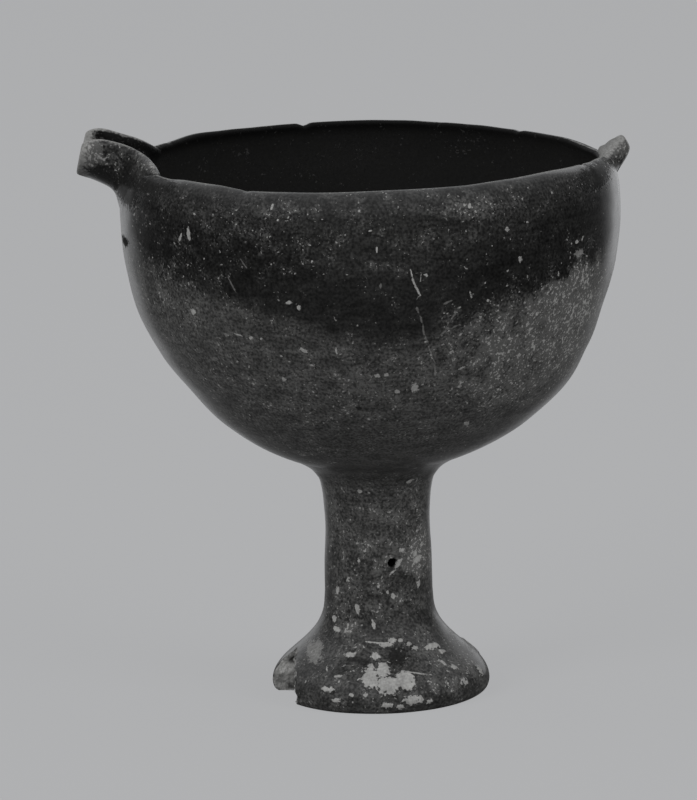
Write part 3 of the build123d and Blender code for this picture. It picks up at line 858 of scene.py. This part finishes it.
def clay(name, dusty):
    """Dark burnished clay; dusty says how much pale dust lies all over it."""
    finish = bpy.data.materials.new(name)
    finish.use_nodes = True
    tree = finish.node_tree
    shader = tree.nodes["Principled BSDF"]
    base = Socket.of(tree, "ShaderNodeTexCoord", {}, {}, "Object")
    inputs = {"Vector": base, "Location": (-AXIS_X, 0, 0), "Scale": (1 / MM, 1 / MM, 1 / MM)}
    place = base.node("ShaderNodeMapping", {}, inputs)
    x, _, z = place.parts()

    def painted_on(attribute, output="Fac"):
        return base.node("ShaderNodeAttribute", {"attribute_name": attribute}, {}, output)

    clouds = place.grain(24, 3)
    mottle = place.grain(5, 4, shift=(3, 9, 1))
    streaks = place.grain(1.2, 3, stretch=(8, 8, 1), shift=(0, 4, 2))
    flakes = place.grain(1.5, 4, shift=(8, 5, 3))
    fine = place.grain(0.8, 4, shift=(2, 2, 6))
    ragged = place.grain(0.8, 4, shift=(5, 1, 8))

    # Smoke-dark band under the rim; paler below, partly fire-clouding and partly painted reflection of the
    # pale floor; and darker again towards the foot
    across = x - BAND_MIDDLE
    band = BAND_LOW + BAND_SLOPE * (across * across + BAND_BEND) ** 0.5 + (clouds - 0.5) * BAND_WAVER
    below = (band - z) / BAND_HALF
    smoked = (below * below).between(*SMOKE_RANGE)
    tone = RIM_CLAY + (LOW_CLAY_AND_REFLECTION - RIM_CLAY) * below.between(*LOW_RANGE)
    tone = tone.towards(DARK_CLAY, smoked * SMOKE_COVER)
    tone = tone * (FOOT_SHADE + (1 - FOOT_SHADE) * z.between(*FOOT_SHADE_RANGE))
    tone = tone * mottle.between(0.25, 0.75).varied(0.3) * streaks.between(0.25, 0.75).varied(0.25)
    tone = tone * fine.between(0.28, 0.72).varied(0.65)

    # Pale haze and specks; the haze is partly painted sheen where the dust places stand for it
    dust_and_sheen = painted_on("dust_and_sheen") + dusty
    haze_and_sheen = (mottle + 0.8 * (fine - 0.5) + 3.0 * dust_and_sheen - 0.12 * smoked).between(*HAZE_AND_SHEEN_RANGE)
    tone = tone.towards(HAZE_AND_SHEEN, haze_and_sheen * (0.5 + 2.5 * dust_and_sheen).least(0.85))
    speck = (ragged + 0.3 * (mottle - 0.5) + 0.75 * dust_and_sheen - 0.03 * smoked).between(*SPECK_RANGE)
    flake = (flakes + 0.2 * (mottle - 0.5) + 0.75 * dust_and_sheen).between(*FLAKE_RANGE)
    speck = speck.most(flake)
    tone = tone.towards(SPECK * fine.varied(0.6), speck * SPECK_COVER)

    # Single marks, with ragged edges
    pale = pit = 0.0
    for layer in MARK_LAYERS:
        across, along, paleness = painted_on(layer, "Vector").parts()
        away = (across * across + along * along) ** 0.5
        mark = (away + (ragged - 0.5) * RAGGEDNESS).between(*MARK_RANGE) * paleness
        pale = mark.most(pale)
        pit = (mark * -1).most(pit)
    tone = tone.towards(MARK * fine.varied(0.5), pale * MARK_COVER)
    tone = tone.towards(DARK_CLAY, pit * PIT_COVER)

    # Inside, darker partly by painted shade; worn edges, with painted light on the lug's top and at the
    # spout's mouth; break and crust
    inside = painted_on("inside").between(*INSIDE_RANGE)
    inside_tone = INSIDE_CLAY_AND_SHADE * fine.varied(0.4) * z.between(*LIP_SHADE_RANGE).most(LIP_SHADE)
    tone = tone.towards(inside_tone + INSIDE_SPECK * speck, inside)
    # Worn edges, and painted light on the lug's top and at the spout's mouth, in the worn clay's tone
    wear_and_light = (painted_on("wear_and_light") * 1.1 + (mottle - 0.5) * 1.1 + (fine - 0.5) * 0.9).between(*WEAR_AND_LIGHT_RANGE)
    tone = tone.towards(WORN_AND_LIT_CLAY * fine.varied(0.5), wear_and_light * WEAR_AND_LIGHT_COVER)
    broken = painted_on("broken").between(*BREAK_RANGE)
    break_tone = FRESH_BREAK * (0.15 + 1.9 * mottle.between(0.3, 0.7)) * fine.varied(0.4)
    tone = tone.towards(break_tone, broken)
    crusted = painted_on("crust")
    crumbled = ((ragged - 0.5) * 1.9 + (mottle - 0.5) * 0.6) * crusted.between(0.0, 0.1)
    crust = (crusted + crumbled).between(*CRUST_RANGE)
    tone = tone.towards(CRUST * fine.varied(0.55) * mottle.varied(0.55), crust)
    tone.tinted(*CLAY_TINT).into(shader.inputs["Base Color"])

    # Gloss, which whatever covers the clay takes away
    covered = crust.most(speck).most(pale).most(pit).most(broken).most(wear_and_light)
    rough = BARE_ROUGHNESS + 0.14 * mottle + 0.3 * inside + 0.25 * haze_and_sheen
    rough.towards(COVERED_ROUGHNESS, covered).into(shader.inputs["Roughness"])
    polish = (1 - covered) * (1 - 0.9 * inside) * (0.2 + 0.9 * mottle - 0.4 * haze_and_sheen)
    polish.into(shader.inputs["Coat Weight"])
    shader.inputs["Coat Roughness"].default_value = POLISH_ROUGHNESS
    shader.inputs["Specular IOR Level"].default_value = SPECULAR

    # Relief in millimetres
    relief = 0.03 * fine + 0.03 * streaks + 0.05 * mottle + 0.04 * speck + 0.06 * pale - 0.1 * pit
    relief = relief + crust * 0.18 * ragged + broken * 0.5 * ragged + wear_and_light * 0.05 * fine
    bump = base.node("ShaderNodeBump", {}, {"Strength": 1.0, "Distance": MM, "Height": relief})
    bump.into(shader.inputs["Normal"])
    return finish


# Dust all over the pieces of each slot
SLOT_DUST = {"burnished_clay": 0.0, "worn_clay": 0.0, "crusted_clay": 0.01}
FINISHES = {slot: clay(slot, dusty) for slot, dusty in SLOT_DUST.items()}

piece_from(shape_bowl(), "bowl", "burnished_clay")
piece_from(shape_stem(), "stem", "burnished_clay")
piece_from(shape_stem_collar(), "stem_collar", "burnished_clay")
piece_from(shape_foot(), "foot", "crusted_clay")
for name, rough_shape in (("spout", shape_spout()), ("lug", shape_lug())):
    rounded = smoothed(rough_shape)
    press_by_hand(rounded)
    piece_from(rounded, name, "worn_clay")

# Stage: a pale sheet that runs under the cup and curves up behind it, in metres
SWEEP_HALF_WIDTH = 0.25
SWEEP_SPREAD = 1.1
SWEEP_STEPS = 16
SWEEP_FRONT = -1.3
SWEEP_BACK = 2.6
SWEEP_CURVE = 0.7
SWEEP_TOP = 2.6
SHEET_PAPER = 0.35
SHEET_ROUGHNESS = 0.9
SHEET_TONE = 0.48
SHEET_GLOW = 0.8
PALE_TINT = (1.01, 1.03)
# What polished clay sees of the sheet: bright behind the cup, brighter to the sides and most to the right,
# fading towards the sheet's edges, and dim in front
BEHIND_RANGE = (0.04, 0.24)
ASIDE_RANGE = (0.025, 0.12)
SIDE_GLOW = 0.6
RIGHT_GLOW = 0.45
RIGHT_RANGE = (0.0, 0.3)
SLANT_RANGE = (1.0, 0.4)
FRONT_DIMMING = 0.6
# Light of the room from low and from high, and its tone as the camera sees it
ROOM_LOW = 0.03
ROOM_HIGH = 0.5
ROOM_RANGE = (0.1, 0.9)
ROOM_SEEN = 0.43
LAMP_AIM = (0, 0, 0.1)


def sheet_finish():
    """Pale paper that glows for the camera and in the clay's polish, and still takes the cup's shadow."""
    finish = bpy.data.materials.new("pale_sheet")
    finish.use_nodes = True
    tree = finish.node_tree
    shader = tree.nodes["Principled BSDF"]
    shader.inputs["Roughness"].default_value = SHEET_ROUGHNESS
    shader.inputs["Specular IOR Level"].default_value = 0.0
    shader.inputs["Base Color"].default_value = (SHEET_PAPER, SHEET_PAPER, SHEET_PAPER, 1)
    paper = Socket(tree, shader.outputs["BSDF"])
    camera_ray = Socket.of(tree, "ShaderNodeLightPath", {}, {}, "Is Camera Ray")
    glossy_ray = Socket.of(tree, "ShaderNodeLightPath", {}, {}, "Is Glossy Ray")
    x, y, _ = Socket.of(tree, "ShaderNodeTexCoord", {}, {}, "Object").parts()
    behind = y.between(*BEHIND_RANGE)
    aside = (x * x).between(*ASIDE_RANGE) * behind * (SIDE_GLOW + RIGHT_GLOW * x.between(*RIGHT_RANGE))
    tint = (SHEET_TONE * (1 + aside * glossy_ray)).tinted(*PALE_TINT)
    glow = tint.node("ShaderNodeEmission", {}, {"Color": tint})
    slant = (x * x) / (y * y)
    share = camera_ray.most(glossy_ray * behind * slant.between(*SLANT_RANGE)) * SHEET_GLOW
    lit = share.node("ShaderNodeMixShader", {}, {"Fac": share, 1: paper, 2: glow})
    # Mixed with no other shader, it is dimmed
    in_front = glossy_ray * (1 - behind) * FRONT_DIMMING
    dimmed = lit.node("ShaderNodeMixShader", {}, {"Fac": in_front, 1: lit})
    dimmed.into(tree.nodes["Material Output"].inputs["Surface"])
    return finish


def lay_sheet():
    line = [(SWEEP_FRONT, 0.0), (SWEEP_HALF_WIDTH, 0.0), (SWEEP_BACK - SWEEP_CURVE, 0.0)]
    for step in range(1, SWEEP_STEPS + 1):
        angle = math.pi / 2 * step / SWEEP_STEPS
        line.append((SWEEP_BACK - SWEEP_CURVE * (1 - math.sin(angle)), SWEEP_CURVE * (1 - math.cos(angle))))
    line.append((SWEEP_BACK, SWEEP_TOP))
    shape = bmesh.new()
    verts = [shape.verts.new((-max(SWEEP_HALF_WIDTH, SWEEP_SPREAD * y), y, z)) for y, z in line]
    edges = [shape.edges.new(pair) for pair in zip(verts, verts[1:])]
    drawn = bmesh.ops.extrude_edge_only(shape, edges=edges)["geom"]
    for part in drawn:
        if isinstance(part, bmesh.types.BMVert):
            part.co.x *= -1
    mesh = bpy.data.meshes.new("sheet")
    shape.to_mesh(mesh)
    shape.free()
    mesh.polygons.foreach_set("use_smooth", [True] * len(mesh.polygons))
    mesh.materials.append(sheet_finish())
    sheet = bpy.data.objects.new("sheet", mesh)
    bpy.context.collection.objects.link(sheet)


def soft_light(name, place, size, power):
    lamp = bpy.data.lights.new(name, "AREA")
    lamp.shape = "SQUARE"
    lamp.size = size
    lamp.energy = power
    holder = bpy.data.objects.new(name, lamp)
    holder.location = place
    holder.rotation_euler = (Vector(LAMP_AIM) - Vector(place)).to_track_quat("-Z", "Y").to_euler()
    holder.visible_glossy = False
    bpy.context.collection.objects.link(holder)


def light_room():
    room = bpy.data.worlds.new("room")
    room.use_nodes = True
    tree = room.node_tree
    camera_ray = Socket.of(tree, "ShaderNodeLightPath", {}, {}, "Is Camera Ray")
    height = Socket.of(tree, "ShaderNodeTexCoord", {}, {}, "Generated").parts()[2]
    tone = ROOM_LOW + (ROOM_HIGH - ROOM_LOW) * height.between(*ROOM_RANGE)
    tint = tone.towards(ROOM_SEEN, camera_ray).tinted(*PALE_TINT)
    tint.into(tree.nodes["Background"].inputs["Color"])
    bpy.context.scene.world = room


lay_sheet()
soft_light("window_left", (-2.0, -1.7, 1.4), 1.5, 40)
soft_light("window_right", (2.1, -1.3, 1.1), 1.4, 28)
light_room()

# Camera at the photograph's angle, with its slight lean in degrees
CAMERA_PLACE = Vector((AXIS_X * MM, -1.555, 0.408))
CAMERA_AIM = Vector((AXIS_X * MM - 0.0079, 0, 0.089))
CAMERA_LENS = 238.5
CAMERA_LEAN = 1.35
camera_data = bpy.data.cameras.new("camera")
camera_data.lens = CAMERA_LENS
camera_data.sensor_fit = "AUTO"
camera = bpy.data.objects.new("camera", camera_data)
looking = (CAMERA_AIM - CAMERA_PLACE).to_track_quat("-Z", "Y").to_matrix().to_4x4()
leaning = Matrix.Rotation(math.radians(-CAMERA_LEAN), 4, "Z")
camera.matrix_world = Matrix.Translation(CAMERA_PLACE) @ looking @ leaning
bpy.context.collection.objects.link(camera)
bpy.context.scene.camera = camera
bpy.context.scene.view_settings.view_transform = "Standard"
